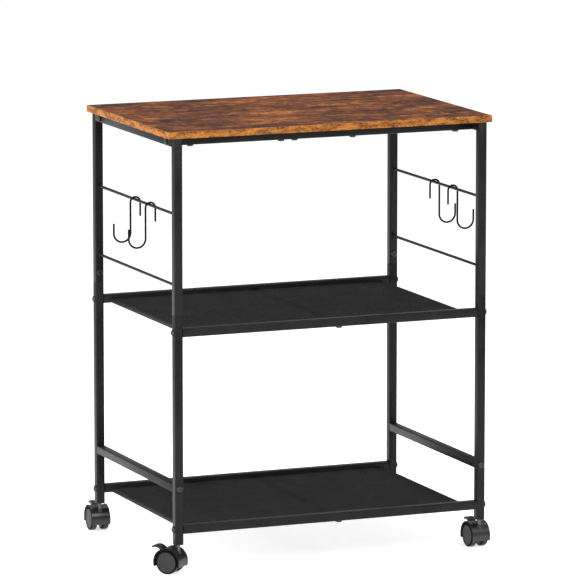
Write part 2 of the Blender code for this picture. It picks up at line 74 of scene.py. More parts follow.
class Axis(Enum):
    """The world axis that a long piece runs along."""

    X = 0
    Y = 1
    Z = 2

    @property
    def turn(self) -> tuple[float, float, float]:
        """The Euler turn that lays a primitive's Z along this axis."""
        return {Axis.X: (0, math.pi / 2, 0), Axis.Y: (-math.pi / 2, 0, 0), Axis.Z: (0, 0, 0)}[self]

    @property
    def unit(self) -> Vector:
        """The unit vector along this axis."""
        return Vector(1.0 if index == self.value else 0.0 for index in range(3))


class Slot(Enum):
    """The finish slots that the record names."""

    BOARD = "board_wood"
    FRAME = "powder_coat"
    DECK = "deck_mesh"
    HOOK = "hook_wire"
    BOLT = "black_bolt"
    CASTOR = "castor_plastic"
    WHEEL = "wheel_plastic"
    STEEL = "bare_steel"


class Corner(Enum):
    """The four legs, as signs along X and Y."""

    front_left = (-1, -1)
    front_right = (1, -1)
    back_left = (-1, 1)
    back_right = (1, 1)


# ---------------------------------------------------------------- shader graph


class Wire:
    """A value that leaves a shader node. Arithmetic on it adds Math nodes."""

    def __init__(self, graph: "Graph", socket: bpy.types.NodeSocket) -> None:
        """Keep the socket and the graph it belongs to."""
        self.graph = graph
        self.socket = socket

    def _math(self, operation: str, first: object, second: object = 0.0, clamp: bool = False) -> "Wire":
        """One Math node on two values."""
        settings = {"operation": operation, "use_clamp": clamp}
        return self.graph.node("ShaderNodeMath", settings, {0: first, 1: second})

    def __add__(self, other: object) -> "Wire":
        """Sum."""
        return self._math("ADD", self, other)

    def __radd__(self, other: object) -> "Wire":
        """Sum, from the right."""
        return self._math("ADD", other, self)

    def __sub__(self, other: object) -> "Wire":
        """Difference."""
        return self._math("SUBTRACT", self, other)

    def __rsub__(self, other: object) -> "Wire":
        """Difference, from the right."""
        return self._math("SUBTRACT", other, self)

    def __mul__(self, other: object) -> "Wire":
        """Product."""
        return self._math("MULTIPLY", self, other)

    def __rmul__(self, other: object) -> "Wire":
        """Product, from the right."""
        return self._math("MULTIPLY", other, self)

    def limited(self) -> "Wire":
        """The value kept between 0 and 1."""
        return self._math("ADD", self, 0.0, clamp=True)

    def between(self, low: float, high: float) -> "Wire":
        """0 below low, 1 above high, and a smooth step from one to the other.

        Args:
            low: Where the step starts.
            high: Where it ends.

        Returns:
            The stepped value.
        """
        settings = {"interpolation_type": "SMOOTHSTEP"}
        inputs = {"Value": self, "From Min": low, "From Max": high}
        return self.graph.node("ShaderNodeMapRange", settings, inputs)


class Graph:
    """A procedural material being wired up round one Principled shader."""

    def __init__(self, name: str) -> None:
        """Start a material whose pattern reads Object coordinates.

        Args:
            name: The material's name.
        """
        self.material = bpy.data.materials.new(name)
        self.material.use_nodes = True
        self.tree = self.material.node_tree
        self.shader = self.tree.nodes["Principled BSDF"]
        self.place = self.node("ShaderNodeTexCoord", {}, {}, "Object")

    def node(self, kind: str, settings: dict, inputs: dict, output: str | int = 0) -> Wire:
        """Add a node.

        Args:
            kind: The node's type.
            settings: Its settings, set first. "stops" holds a ramp's (position, colour) pairs.
            inputs: The values or wires of its sockets, by name or number.
            output: The output socket to hand back.

        Returns:
            The wire that leaves the node.
        """
        node = self.tree.nodes.new(kind)
        for key, value in settings.items():
            if key == "stops":
                self._set_stops(node.color_ramp.elements, value)
            else:
                setattr(node, key, value)
        for key, value in inputs.items():
            self.feed(node.inputs[key], value)
        return Wire(self, node.outputs[output])

    @staticmethod
    def _set_stops(elements: bpy.types.ColorRampElements, stops: Iterable[tuple[float, Colour]]) -> None:
        """Give a ramp its stops.

        Args:
            elements: The ramp's own stops.
            stops: The position and colour of each new one.
        """
        stops = list(stops)
        while len(elements) < len(stops):
            elements.new(1.0)
        for element, (position, colour) in zip(elements, stops):
            element.position = position
            element.color = (*colour, 1.0)

    def feed(self, socket: bpy.types.NodeSocket, value: object) -> None:
        """Link a wire to a socket, or set the socket's own value.

        Args:
            socket: The socket to feed.
            value: A wire, a colour or a number.
        """
        if isinstance(value, Wire):
            self.tree.links.new(value.socket, socket)
        elif isinstance(value, tuple) and len(value) == 3 and socket.type == "RGBA":
            socket.default_value = (*value, 1.0)
        else:
            socket.default_value = value

    def dress(self, **inputs: object) -> bpy.types.Material:
        """Feed the shader's sockets, named with underscores, and return the material.

        Args:
            inputs: The values or wires by socket.

        Returns:
            The finished material.
        """
        for key, value in inputs.items():
            self.feed(self.shader.inputs[key.replace("_", " ")], value)
        return self.material

    def stretched(self, scale: tuple[float, float, float], source: Wire | None = None) -> Wire:
        """The pattern's coordinates times a scale along each axis."""
        inputs = {"Vector": source or self.place, "Scale": scale}
        return self.node("ShaderNodeMapping", {}, inputs)

    def noise(self, vector: Wire, detail: float = 3.0, roughness: float = 0.5, warp: float = 0.0) -> Wire:
        """Noise of unit scale on the given coordinates, from 0 to 1."""
        inputs = {"Vector": vector, "Scale": 1.0, "Detail": detail, "Roughness": roughness}
        return self.node("ShaderNodeTexNoise", {}, inputs | {"Distortion": warp})

    def ramp(self, value: Wire, stops: Iterable[tuple[float, Colour]]) -> Wire:
        """A colour ramp."""
        return self.node("ShaderNodeValToRGB", {"stops": stops}, {"Fac": value})

    def mixed(self, factor: object, first: object, second: object, blend: str = "MIX") -> Wire:
        """Two colours mixed by a factor."""
        settings = {"data_type": "RGBA", "blend_type": blend}
        return self.node("ShaderNodeMix", settings, {0: factor, 6: first, 7: second}, 2)

    def bump(self, height: Wire, depth: float, strength: float = 1.0) -> Wire:
        """A normal bent by a height from 0 to 1, over a depth in metres."""
        inputs = {"Height": height, "Distance": depth, "Strength": strength}
        return self.node("ShaderNodeBump", {}, inputs)


# ---------------------------------------------------------------- finishes


@dataclass(frozen=True)
class RusticFoil:
    """Rustic brown wood-print foil on the board's faces: grain along X, dark clouds, knots and saw marks."""

    name: str = "rustic_foil"
    darkest: Colour = (0.024, 0.008, 0.005)
    brown: Colour = (0.085, 0.026, 0.010)
    russet: Colour = (0.170, 0.050, 0.013)
    orange: Colour = (0.370, 0.125, 0.024)

    def material(self) -> bpy.types.Material:
        """Wire the foil's material.

        Returns:
            The material.
        """
        graph = Graph(self.name)
        grain = graph.noise(graph.stretched((14.0, 120.0, 120.0)), 8.0, 0.68, 0.6)
        mottle = graph.noise(graph.stretched((62.0, 46.0, 46.0)), 5.0, 0.62, 0.8)
        fine = graph.noise(graph.stretched((60.0, 950.0, 950.0)), 4.0, 0.6)
        clouds = graph.noise(graph.stretched((8.0, 20.0, 20.0)), 4.0, 0.6, 1.2)
        tone = (grain * 0.85 + clouds * 0.95 + mottle * 0.80 + fine * 0.20 - 0.96).limited()
        stops = [(0.24, self.darkest), (0.40, self.brown), (0.54, self.russet), (0.72, self.orange)]
        wood = graph.ramp(tone, stops)
        knots = graph.node("ShaderNodeTexVoronoi", {"feature": "F1"}, {
            "Vector": graph.stretched((7.0, 13.0, 13.0)), "Scale": 1.0, "Randomness": 1.0})
        knot = 1.0 - (knots + (grain - 0.5) * 0.28).between(0.05, 0.17)
        wood = graph.mixed(knot * 0.8, wood, self.darkest)
        roughness = 0.46 + 0.14 * grain
        normal = graph.bump(grain * 0.6 + fine * 0.4, 0.00012, 0.6)
        return graph.dress(Base_Color=wood, Roughness=roughness, Normal=normal, Specular_IOR_Level=0.06)


@dataclass(frozen=True)
class EdgeBand:
    """Printed edge band round the board: lighter and more orange, with short dark strokes along the edge."""

    name: str = "edge_band"
    light: Colour = (0.530, 0.205, 0.040)
    middle: Colour = (0.300, 0.098, 0.018)
    stroke: Colour = (0.065, 0.021, 0.008)

    def material(self) -> bpy.types.Material:
        """Wire the band's material.

        Returns:
            The material.
        """
        graph = Graph(self.name)
        x, y, z = (graph.node("ShaderNodeSeparateXYZ", {}, {0: graph.place}, axis) for axis in "XYZ")
        along = graph.node("ShaderNodeCombineXYZ", {}, {"X": x + y, "Z": z})
        grain = graph.noise(graph.stretched((150.0, 1.0, 400.0), along), 6.0, 0.7, 0.3)
        clouds = graph.noise(graph.stretched((40.0, 1.0, 100.0), along), 3.0, 0.55)
        fine = graph.noise(graph.stretched((420.0, 1.0, 1300.0), along), 3.0, 0.6)
        body = graph.mixed(grain.between(0.38, 0.60), self.middle, self.light)
        strokes = clouds.between(0.42, 0.56) * grain.between(0.42, 0.56)
        strokes = (strokes + fine.between(0.52, 0.68) * 0.35).limited()
        wood = graph.mixed(strokes * 0.92, body, self.stroke)
        normal = graph.bump(grain, 0.0001, 0.5)
        return graph.dress(Base_Color=wood, Roughness=0.42 + 0.12 * clouds, Normal=normal,
                           Specular_IOR_Level=0.12)


@dataclass(frozen=True)
class Coat:
    """A sprayed or moulded dark finish: fine orange peel, and a little change of tone and gloss over it."""

    name: str
    colour: Colour
    roughness: float
    peel: float = 1900.0
    depth: float = 0.00003
    shade: float = 0.25
    specular: float = 0.4
    metallic: float = 0.0

    def material(self) -> bpy.types.Material:
        """Wire the coat's material.

        Returns:
            The material.
        """
        graph = Graph(self.name)
        peel = graph.noise(graph.stretched((self.peel,) * 3), 2.0, 0.6)
        patches = graph.noise(graph.stretched((22.0, 22.0, 22.0)), 3.0, 0.55)
        lighter = tuple(channel * (1 + self.shade) + 0.002 for channel in self.colour)
        darker = tuple(channel * (1 - self.shade) for channel in self.colour)
        colour = graph.mixed((patches * 0.6 + peel * 0.4).between(0.30, 0.70), darker, lighter)
        roughness = (self.roughness - 0.06) + 0.12 * patches
        normal = graph.bump(peel, self.depth, 0.5)
        return graph.dress(Base_Color=colour, Roughness=roughness, Normal=normal, Metallic=self.metallic,
                           Specular_IOR_Level=self.specular)


@dataclass(frozen=True)
class Zinc:
    """Zinc-plated steel, turned: fine rings along Z and a cloudy plating."""

    name: str = "zinc_steel"
    bright: Colour = (0.15, 0.15, 0.155)
    dull: Colour = (0.07, 0.07, 0.075)

    def material(self) -> bpy.types.Material:
        """Wire the plating's material.

        Returns:
            The material.
        """
        graph = Graph(self.name)
        rings = graph.noise(graph.stretched((30.0, 30.0, 4000.0)), 2.0, 0.5)
        clouds = graph.noise(graph.stretched((160.0, 160.0, 160.0)), 3.0, 0.6)
        colour = graph.mixed((rings * 0.4 + clouds * 0.6).between(0.3, 0.7), self.dull, self.bright)
        normal = graph.bump(rings, 0.00002, 0.4)
        return graph.dress(Base_Color=colour, Roughness=0.28 + 0.14 * clouds, Normal=normal, Metallic=1.0)


class Palette:
    """Every finish of the stand, made once."""

    def __init__(self) -> None:
        """Make the materials."""
        self.foil = RusticFoil().material()
        self.band = EdgeBand().material()
        self.frame = Coat("black_powder_coat", (0.0105, 0.0105, 0.0110), 0.36, specular=0.13).material()
        self.deck = Coat("deck_powder_coat", (0.0170, 0.0170, 0.0176), 0.50, depth=0.00002,
                         specular=0.10).material()
        self.hook = Coat("hook_lacquer", (0.0040, 0.0040, 0.0042), 0.36, peel=2600.0, depth=0.00001,
                         specular=0.05).material()
        self.bolt = Coat("black_oxide", (0.0500, 0.0500, 0.0520), 0.34, metallic=0.8).material()
        self.hood = self.nylon("hood_nylon", (0.0080, 0.0080, 0.0086), 0.28, 0.00001, 0.60)
        self.lever = self.nylon("lever_nylon", (0.0075, 0.0075, 0.0085), 0.36, 0.00001, 0.25)
        # Painted shade: this near-black, matt nylon goes on the hood's lip ends and the wheels' shoulders,
        # where it stands for the shade that lies in those gaps.
        self.rim = self.nylon("rim_nylon", (0.0040, 0.0040, 0.0042), 0.60, 0.00002, 0.05)
        self.wheel = self.nylon("wheel_nylon", (0.0260, 0.0260, 0.0272), 0.44, 0.00002, 0.25)
        self.steel = Zinc().material()

    @staticmethod
    def nylon(name: str, colour: Colour, roughness: float, depth: float,
              specular: float) -> bpy.types.Material:
        """A moulded nylon with a coarser skin than the sprayed coats."""
        return Coat(name, colour, roughness, peel=1400.0, depth=depth, specular=specular).material()


# ---------------------------------------------------------------- modelling by hand


def deselect_all() -> None:
    """Leave edit mode if it is on, and select nothing."""
    if bpy.context.mode != "OBJECT":
        bpy.ops.object.mode_set(mode="OBJECT")
    bpy.ops.object.select_all(action="DESELECT")


def pick_only(obj: bpy.types.Object) -> None:
    """Select one object and make it active.

    Args:
        obj: The object.
    """
    deselect_all()
    obj.select_set(True)
    bpy.context.view_layer.objects.active = obj


class Blank:
    """A mesh on the bench: it starts as a primitive at its size and place, and is shaped in edit mode."""

    def __init__(self, name: str, add: Callable, stretch: Vector | None = None, **sizes: object) -> None:
        """Add the primitive and open it.

        Args:
            name: The name of the piece.
            add: The operator that adds the primitive.
            stretch: The primitive's scale along its own axes, if it has one.
            sizes: What the operator is given.
        """
        deselect_all()
        add(**sizes)
        self.obj = bpy.context.view_layer.objects.active
        if stretch is not None:
            self.obj.scale = stretch
        self.obj.name = name
        self.obj.data.name = name
        bpy.ops.object.transform_apply(location=True, rotation=True, scale=True)
        bpy.ops.object.mode_set(mode="EDIT")

    @classmethod
    def block(cls, name: str, low: Vector, high: Vector) -> "Blank":
        """A box between two corners.

        Args:
            name: The name of the piece.
            low: Its lowest corner.
            high: Its highest corner.

        Returns:
            The box, open in edit mode.
        """
        size = Vector(high) - Vector(low)
        middle = (Vector(low) + Vector(high)) / 2
        return cls(name, bpy.ops.mesh.primitive_cube_add, size, size=1.0, location=middle)

    @classmethod
    def plate(cls, name: str, middle: Vector, width: float, depth: float, tilt: float) -> "Blank":
        """A flat plate: its width along X, and its depth tilted about X by an angle in degrees."""
        return cls(name, bpy.ops.mesh.primitive_plane_add, Vector((width, depth, 1)), size=1.0,
                   location=middle, rotation=(math.radians(tilt), 0, 0))

    @classmethod
    def rod(cls, name: str, radius: float, low: Vector, length: float, axis: Axis,
            sides: int = 32) -> "Blank":
        """A round bar that starts at a point and runs along an axis."""
        return cls(name, bpy.ops.mesh.primitive_cylinder_add, vertices=sides, radius=radius, depth=length,
                   location=Vector(low) + axis.unit * length / 2, rotation=axis.turn)

    @classmethod
    def disc(cls, name: str, radius: float, middle: Vector, axis: Axis, sides: int = 16) -> "Blank":
        """A flat disc, all selected, to be drawn out into a wire."""
        blank = cls(name, bpy.ops.mesh.primitive_circle_add, vertices=sides, radius=radius, fill_type="NGON",
                    location=Vector(middle), rotation=axis.turn)
        return blank.everything()

    @classmethod
    def ring(cls, name: str, major: float, minor: float, middle: Vector, axis: Axis) -> "Blank":
        """A torus round an axis."""
        return cls(name, bpy.ops.mesh.primitive_torus_add, major_radius=major, minor_radius=minor,
                   major_segments=24, minor_segments=8, location=Vector(middle), rotation=axis.turn)

    def everything(self) -> "Blank":
        """Select the whole mesh.

        Returns:
            The blank itself.
        """
        bpy.ops.mesh.select_mode(type="FACE")
        bpy.ops.mesh.select_all(action="SELECT")
        return self

    def faces(self, test: Test) -> "Blank":
        """Select the faces whose middle and normal pass a test.

        Args:
            test: What a face has to pass.

        Returns:
            The blank itself.
        """
        bpy.ops.mesh.select_mode(type="FACE")
        bpy.ops.mesh.select_all(action="DESELECT")
        mesh = bmesh.from_edit_mesh(self.obj.data)
        mesh.normal_update()
        for face in mesh.faces:
            face.select_set(bool(test(face.calc_center_median(), face.normal)))
        bmesh.update_edit_mesh(self.obj.data)
        return self

    def edges(self, test: Test) -> "Blank":
        """Select the edges whose middle and direction pass a test.

        Args:
            test: What an edge has to pass.

        Returns:
            The blank itself.
        """
        bpy.ops.mesh.select_mode(type="EDGE")
        bpy.ops.mesh.select_all(action="DESELECT")
        mesh = bmesh.from_edit_mesh(self.obj.data)
        for edge in mesh.edges:
            first, second = (vert.co for vert in edge.verts)
            edge.select_set(bool(test((first + second) / 2, (second - first).normalized())))
        bmesh.update_edit_mesh(self.obj.data)
        return self

    def bevel(self, width: float, cuts: int = 2) -> "Blank":
        """Round the selected edges."""
        bpy.ops.mesh.bevel(offset=width, segments=cuts, profile=0.5, affect="EDGES")
        return self

    def inset(self, width: float) -> "Blank":
        """Inset the selected faces."""
        bpy.ops.mesh.inset(thickness=width, depth=0.0)
        return self

    def extrude(self, offset: Vector) -> "Blank":
        """Extrude the selection along an offset."""
        bpy.ops.mesh.extrude_region_move(TRANSFORM_OT_translate={"value": tuple(offset)})
        return self

    def resize(self, factors: tuple[float, float, float], middle: Vector) -> "Blank":
        """Scale the selection about a point."""
        bpy.ops.transform.resize(value=factors, center_override=tuple(middle))
        return self

    def spin(self, degrees: float, steps: int, centre: Vector, axis: Vector) -> "Blank":
        """Draw the selection round an axis, right-handed."""
        bpy.ops.mesh.spin(steps=steps, angle=-math.radians(degrees), center=tuple(centre), axis=tuple(axis))
        return self

    def slice(self, point: Vector, normal: Vector, drop: bool = False) -> "Blank":
        """Cut the whole mesh with a plane, and drop what lies on the normal's side if asked.

        Args:
            point: A point on the plane.
            normal: The plane's normal.
            drop: Whether to drop that side and close the cut.

        Returns:
            The blank itself.
        """
        self.everything()
        bpy.ops.mesh.bisect(plane_co=tuple(point), plane_no=tuple(normal), use_fill=drop, clear_outer=drop)
        return self

    def weld(self) -> "Blank":
        """Merge doubles and turn every face outwards.

        Returns:
            The blank itself.
        """
        self.everything()
        bpy.ops.mesh.remove_doubles(threshold=TINY)
        bpy.ops.mesh.normals_make_consistent(inside=False)
        return self

    def done(self, smooth: float = 32.0) -> bpy.types.Object:
        """Close the mesh, smooth below an angle in degrees, and hand the piece over.

        Args:
            smooth: The angle.

        Returns:
            The piece.
        """
        bpy.ops.object.mode_set(mode="OBJECT")
        bpy.ops.object.shade_smooth_by_angle(angle=math.radians(smooth))
        return self.obj


def apply_modifier(obj: bpy.types.Object, kind: str, **settings: object) -> None:
    """Add a modifier to a piece and apply it.

    Args:
        obj: The piece.
        kind: The modifier's type.
        settings: Its settings.
    """
    pick_only(obj)
    modifier = obj.modifiers.new(kind.title(), kind)
    for key, value in settings.items():
        setattr(modifier, key, value)
    bpy.ops.object.modifier_apply(modifier=modifier.name)


def combine(obj: bpy.types.Object, tool: bpy.types.Object, operation: str) -> None:
    """Cut a piece with a tool, or fuse the tool to it, and remove the tool."""
    apply_modifier(obj, "BOOLEAN", operation=operation, object=tool, solver="EXACT")
    bpy.data.objects.remove(tool, do_unlink=True)


def soften(obj: bpy.types.Object, width: float, cuts: int = 2, smooth: float = 40.0) -> None:
    """Break every sharp edge of a piece."""
    apply_modifier(obj, "BEVEL", width=width, segments=cuts, limit_method="ANGLE",
                   angle_limit=math.radians(smooth), use_clamp_overlap=True)
    smoothed(obj, smooth)


def smoothed(obj: bpy.types.Object, degrees: float) -> None:
    """Shade a piece smooth below an angle in degrees."""
    pick_only(obj)
    bpy.ops.object.shade_smooth_by_angle(angle=math.radians(degrees))


def joined(pieces: list[bpy.types.Object]) -> bpy.types.Object:
    """Join pieces into the first one.

    Args:
        pieces: The pieces.

    Returns:
        The first piece, which now holds them all.
    """
    pick_only(pieces[0])
    for piece in pieces[1:]:
        piece.select_set(True)
    bpy.ops.object.join()
    return pieces[0]


def copied(obj: bpy.types.Object, name: str, matrix: Matrix) -> bpy.types.Object:
    """A copy with its own mesh, placed by a matrix that goes into the mesh.

    Args:
        obj: The pattern.
        name: The copy's name.
        matrix: Where the copy goes.

    Returns:
        The copy.
    """
    twin = obj.copy()
    twin.data = obj.data.copy()
    twin.name = name
    twin.data.name = name
    twin.data.transform(matrix)
    if matrix.determinant() < 0:
        twin.data.flip_normals()
    bpy.context.scene.collection.objects.link(twin)
    return twin


def two_tone(obj: bpy.types.Object, first: bpy.types.Material, second: bpy.types.Material,
             test: Test) -> None:
    """Give a piece one material, and a second one where a face's middle and normal pass a test.

    Args:
        obj: The piece.
        first: Its main material.
        second: The other one.
        test: What a face has to pass to get the other one.
    """
    obj.data.materials.clear()
    obj.data.materials.append(first)
    obj.data.materials.append(second)
    for face in obj.data.polygons:
        face.material_index = int(test(face.center, face.normal))


def discard(*pieces: bpy.types.Object) -> None:
    """Remove patterns that were only copied from."""
    for piece in pieces:
        bpy.data.objects.remove(piece, do_unlink=True)


def fit(piece: bpy.types.Object, body: str, slot: Slot, material: bpy.types.Material, *nodes: str) -> None:
    """Dress a piece, seat it on its body and hide the CAD nodes it stands for.

    Args:
        piece: The finished piece.
        body: The body that it rides on.
        slot: Its finish slot; not used.
        material: Its material, if it has none yet.
        nodes: The CAD nodes that it replaces.
    """
    if not piece.data.materials:
        piece.data.materials.append(material)
    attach(piece, body)
    if nodes:
        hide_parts(*nodes)
    LOG.info("%s on %s, %d faces", piece.name, body, len(piece.data.polygons))


def middle_of(node: str) -> Vector:
    """The middle of a CAD node's box."""
    low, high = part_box(node)
    return (low + high) / 2


# ---------------------------------------------------------------- board


@dataclass
class Board:
    """The wood-print board, with its printed band glued round the edge."""

    palette: Palette
    edge_round: float = 0.0008
    band_lip: float = 0.0005

    def build(self) -> None:
        """Model the board, and give its faces and its edge their own finishes."""
        low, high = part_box("tabletop")
        blank = Blank.block("printed_board", low, high)
        blank.edges(lambda middle, along: True).bevel(self.edge_round, 3)
        blank.faces(lambda middle, normal: abs(normal.z) > ALONG).inset(self.band_lip)
        board = blank.done()
        board.data.materials.append(self.palette.foil)
        board.data.materials.append(self.palette.band)
        centre = (low + high) / 2
        reach = (high - low) / 2 - Vector((1, 1, 0)) * (self.edge_round + self.band_lip)
        for face in board.data.polygons:
            offset = face.center - centre
            inside = abs(offset.x) < reach.x and abs(offset.y) < reach.y
            face.material_index = 0 if inside and abs(face.normal.z) > ALONG else 1
        fit(board, "frame", Slot.BOARD, self.palette.foil, "tabletop")


# ---------------------------------------------------------------- tubes


@dataclass
class TubeFrame:
    """Legs and rails of thin square tube, each with rounded corners and open, slightly broken ends."""

    palette: Palette
    wall: float = 0.0012
    corner: float = 0.0021
    corner_cuts: int = 6
    rim: float = 0.00025
    mouth: float = 0.012
    foot_recess: float = 0.0007

    def tube(self, name: str, low: Vector, high: Vector, mouths: tuple[float, float]) -> bpy.types.Object:
        """Model one tube.

        Args:
            name: The piece's name.
            low: Its lowest corner.
            high: Its highest corner.
            mouths: How deep its first and its last end are hollow.

        Returns:
            The tube.
        """
        size = high - low
        axis = Axis(max(range(3), key=lambda index: size[index]))
        others = [index for index in range(3) if index != axis.value]
        centre = (low + high) / 2
        blank = Blank.block(name, low, high)
        blank.edges(lambda middle, along: abs(along[axis.value]) > ALONG)
        blank.bevel(self.corner, self.corner_cuts)
        blank.faces(lambda middle, normal: abs(normal[axis.value]) > ALONG).inset(self.rim)
        flat = size[others[0]] / 2 - self.corner
        for end, sign, depth in ((low, -1, mouths[0]), (high, 1, mouths[1])):
            blank.faces(lambda middle, normal: normal[axis.value] * sign > ALONG
                        and all(abs(middle[other] - centre[other]) < 10 * TINY for other in others))
            blank.inset(self.wall - self.rim).extrude(axis.unit * -sign * depth)

            def on_outline(middle: Vector, along: Vector) -> bool:
                """Whether an edge lies at this end, on the outside.

                Args:
                    middle: The edge's middle.
                    along: Its direction.

                Returns:
                    Whether it does.
                """
                if abs(middle[axis.value] - end[axis.value]) > TINY or abs(along[axis.value]) > 1 - ALONG:
                    return False
                past = Vector([max(abs(middle[other] - centre[other]) - flat, 0.0) for other in others])
                return past.length > self.corner - self.rim / 2

            blank.edges(on_outline).bevel(self.rim, 2)
        return blank.done(30.0)

    def build(self) -> None:
        """Make every leg and rail."""
        whole = (self.mouth, self.mouth)
        for corner in Corner:
            upper, lower = corner.name + "_upper_leg", corner.name + "_lower_leg"
            low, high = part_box(upper)
            self.seat(upper, low, high, whole)
            foot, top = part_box(lower)
            top.z = low.z - GAP
            self.seat(lower, foot, top, (self.foot_recess, self.mouth))
        rails = [side + "_top_rail" for side in ("left", "right", "front", "back")]
        rails += [side + "_foot_rail" for side in ("left", "right")]
        rails += [f"{deck}_shelf_{side}_rail" for deck in ("middle", "bottom") for side in ("front", "back")]
        for rail in rails:
            self.seat(rail, *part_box(rail), whole)

    def seat(self, node: str, low: Vector, high: Vector, mouths: tuple[float, float]) -> None:
        """Make the tube that stands for a CAD node."""
        tube = self.tube(node + "_tube", low, high, mouths)
        fit(tube, "frame", Slot.FRAME, self.palette.frame, node)


# ---------------------------------------------------------------- decks


@dataclass
class WovenDeck:
    """A deck of woven wire welded to a border rod at each side, with a flat brace under its middle."""

    palette: Palette
    deck: str
    wire: float = 0.0007
    crimp: float = 0.21
    across: int = 104
    deep: int = 72
    border: float = 0.005
    brace_x: float = 0.0154
    brace_half: float = 0.0065
    brace_rise: float = 0.0026
    border_round: float = 0.0014
    brace_round: float = 0.0006
    brace_thick: float = 0.0024

    def weave(self, name: str, low: Vector, high: Vector, axis: Axis, count: int,
              crossings: int) -> bpy.types.Object:
        """Model the wires that run one way: a crimped pair, repeated side by side.

        Args:
            name: The piece's name.
            low: The lowest corner of the woven area.
            high: Its highest corner.
            axis: The way the wires run.
            count: How many wires lie side by side, an even number.
            crossings: How many wires each one crosses.

        Returns:
            The layer of wires.
        """
        side = Axis.Y if axis is Axis.X else Axis.X
        length = high[axis.value] - low[axis.value]
        pitch = (high[side.value] - low[side.value]) / (count + 1)
        step = length / (crossings + 1)
        level = (low.z + high.z) / 2
        pair = []
        for index in range(2):
            start = Vector(low)
            start.z = level
            start[side.value] += pitch * (index + 1)
            blank = Blank.rod(f"{name}_{index}", self.wire, start, length, axis, 6)
            blank.edges(lambda middle, along: abs(along[axis.value]) > ALONG)
            bpy.ops.mesh.subdivide(number_cuts=crossings)
            mesh = bmesh.from_edit_mesh(blank.obj.data)
            for vert in mesh.verts:
                ring = round((vert.co[axis.value] - low[axis.value]) / step)
                if 0 < ring <= crossings:
                    vert.co.z += self.wire * (1 if (ring + index) % 2 else -1) * self.crimp
            bmesh.update_edit_mesh(blank.obj.data)
            pair.append(blank.done(80.0))
        layer = joined(pair)
        layer.name = name
        layer.data.name = name
        apply_modifier(layer, "ARRAY", count=count // 2, use_relative_offset=False, use_constant_offset=True,
                       constant_offset_displace=side.unit * 2 * pitch)
        return layer

    def build(self) -> None:
        """Make the two layers of wire, the border rods and the brace."""
        node = self.deck + "_mesh_deck"
        low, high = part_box(node)
        level = high.z - 2 * self.wire
        inner_low = Vector((low.x + self.border / 2, low.y, level))
        inner_high = Vector((high.x - self.border / 2, high.y, level))
        name = self.deck + "_deck"
        warp = self.weave(name + "_long_wires", inner_low, inner_high, Axis.X, self.deep, self.across)
        weft = self.weave(name + "_short_wires", inner_low, inner_high, Axis.Y, self.across, self.deep)
        fit(warp, "frame", Slot.DECK, self.palette.deck, node)
        fit(weft, "frame", Slot.DECK, self.palette.deck)
        bottom = low.z + self.brace_rise
        brace_left, brace_right = self.brace_x - self.brace_half, self.brace_x + self.brace_half
        for side, left in (("left", low.x), ("right", high.x - self.border)):
            span = (left, left + self.border, low.z, high.z)
            self.bar(f"{name}_{side}_border", span, self.border_round, 4)
        span = (brace_left, brace_right, bottom, bottom + self.brace_thick)
        self.bar(name + "_brace", span, self.brace_round, 3)

    def bar(self, name: str, span: tuple[float, float, float, float], edge_round: float, cuts: int) -> None:
        """Make a bar from the front rail to the back one.

        Args:
            name: The piece's name.
            span: Its left, right, bottom and top.
            edge_round: The radius of its long edges.
            cuts: How many facets each of them gets.
        """
        left, right, bottom, top = span
        low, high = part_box(self.deck + "_mesh_deck")
        bar = Blank.block(name, Vector((left, low.y - GAP, bottom)), Vector((right, high.y + GAP, top)))
        bar.edges(lambda middle, along: abs(along.y) > ALONG).bevel(edge_round, cuts)
        fit(bar.done(), "frame", Slot.DECK, self.palette.deck)


# ---------------------------------------------------------------- rods and hooks


@dataclass
class SideRods:
    """The thin rods between the legs, each welded on with a small bead at both ends."""

    palette: Palette
    sides: int = 28
    bead: float = 0.0013
    bead_in: float = 0.0002
    bead_shape: tuple[float, float, float] = (1.0, 0.85, 1.08)

    def build(self) -> None:
        """Make the four rods and their welds."""
        for side in ("left", "right"):
            for level in ("upper", "lower"):
                node = f"{side}_{level}_rod"
                low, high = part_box(node)
                centre = (low + high) / 2
                radius = (high.z - low.z) / 2
                start = Vector((centre.x, low.y - GAP, centre.z))
                rod = Blank.rod(node + "_bar", radius, start, high.y - low.y + 2 * GAP, Axis.Y, self.sides)
                fit(rod.done(), "frame", Slot.FRAME, self.palette.frame, node)
                for end, place in (("front", low.y + self.bead_in), ("back", high.y - self.bead_in)):
                    spot = Vector((centre.x, place, centre.z))
                    major = radius + self.bead / 4
                    bead = Blank.ring(f"{node}_{end}_weld", major, self.bead, spot, Axis.Y)
                    bead.everything().resize(self.bead_shape, spot)
                    fit(bead.done(60.0), "frame", Slot.FRAME, self.palette.frame)


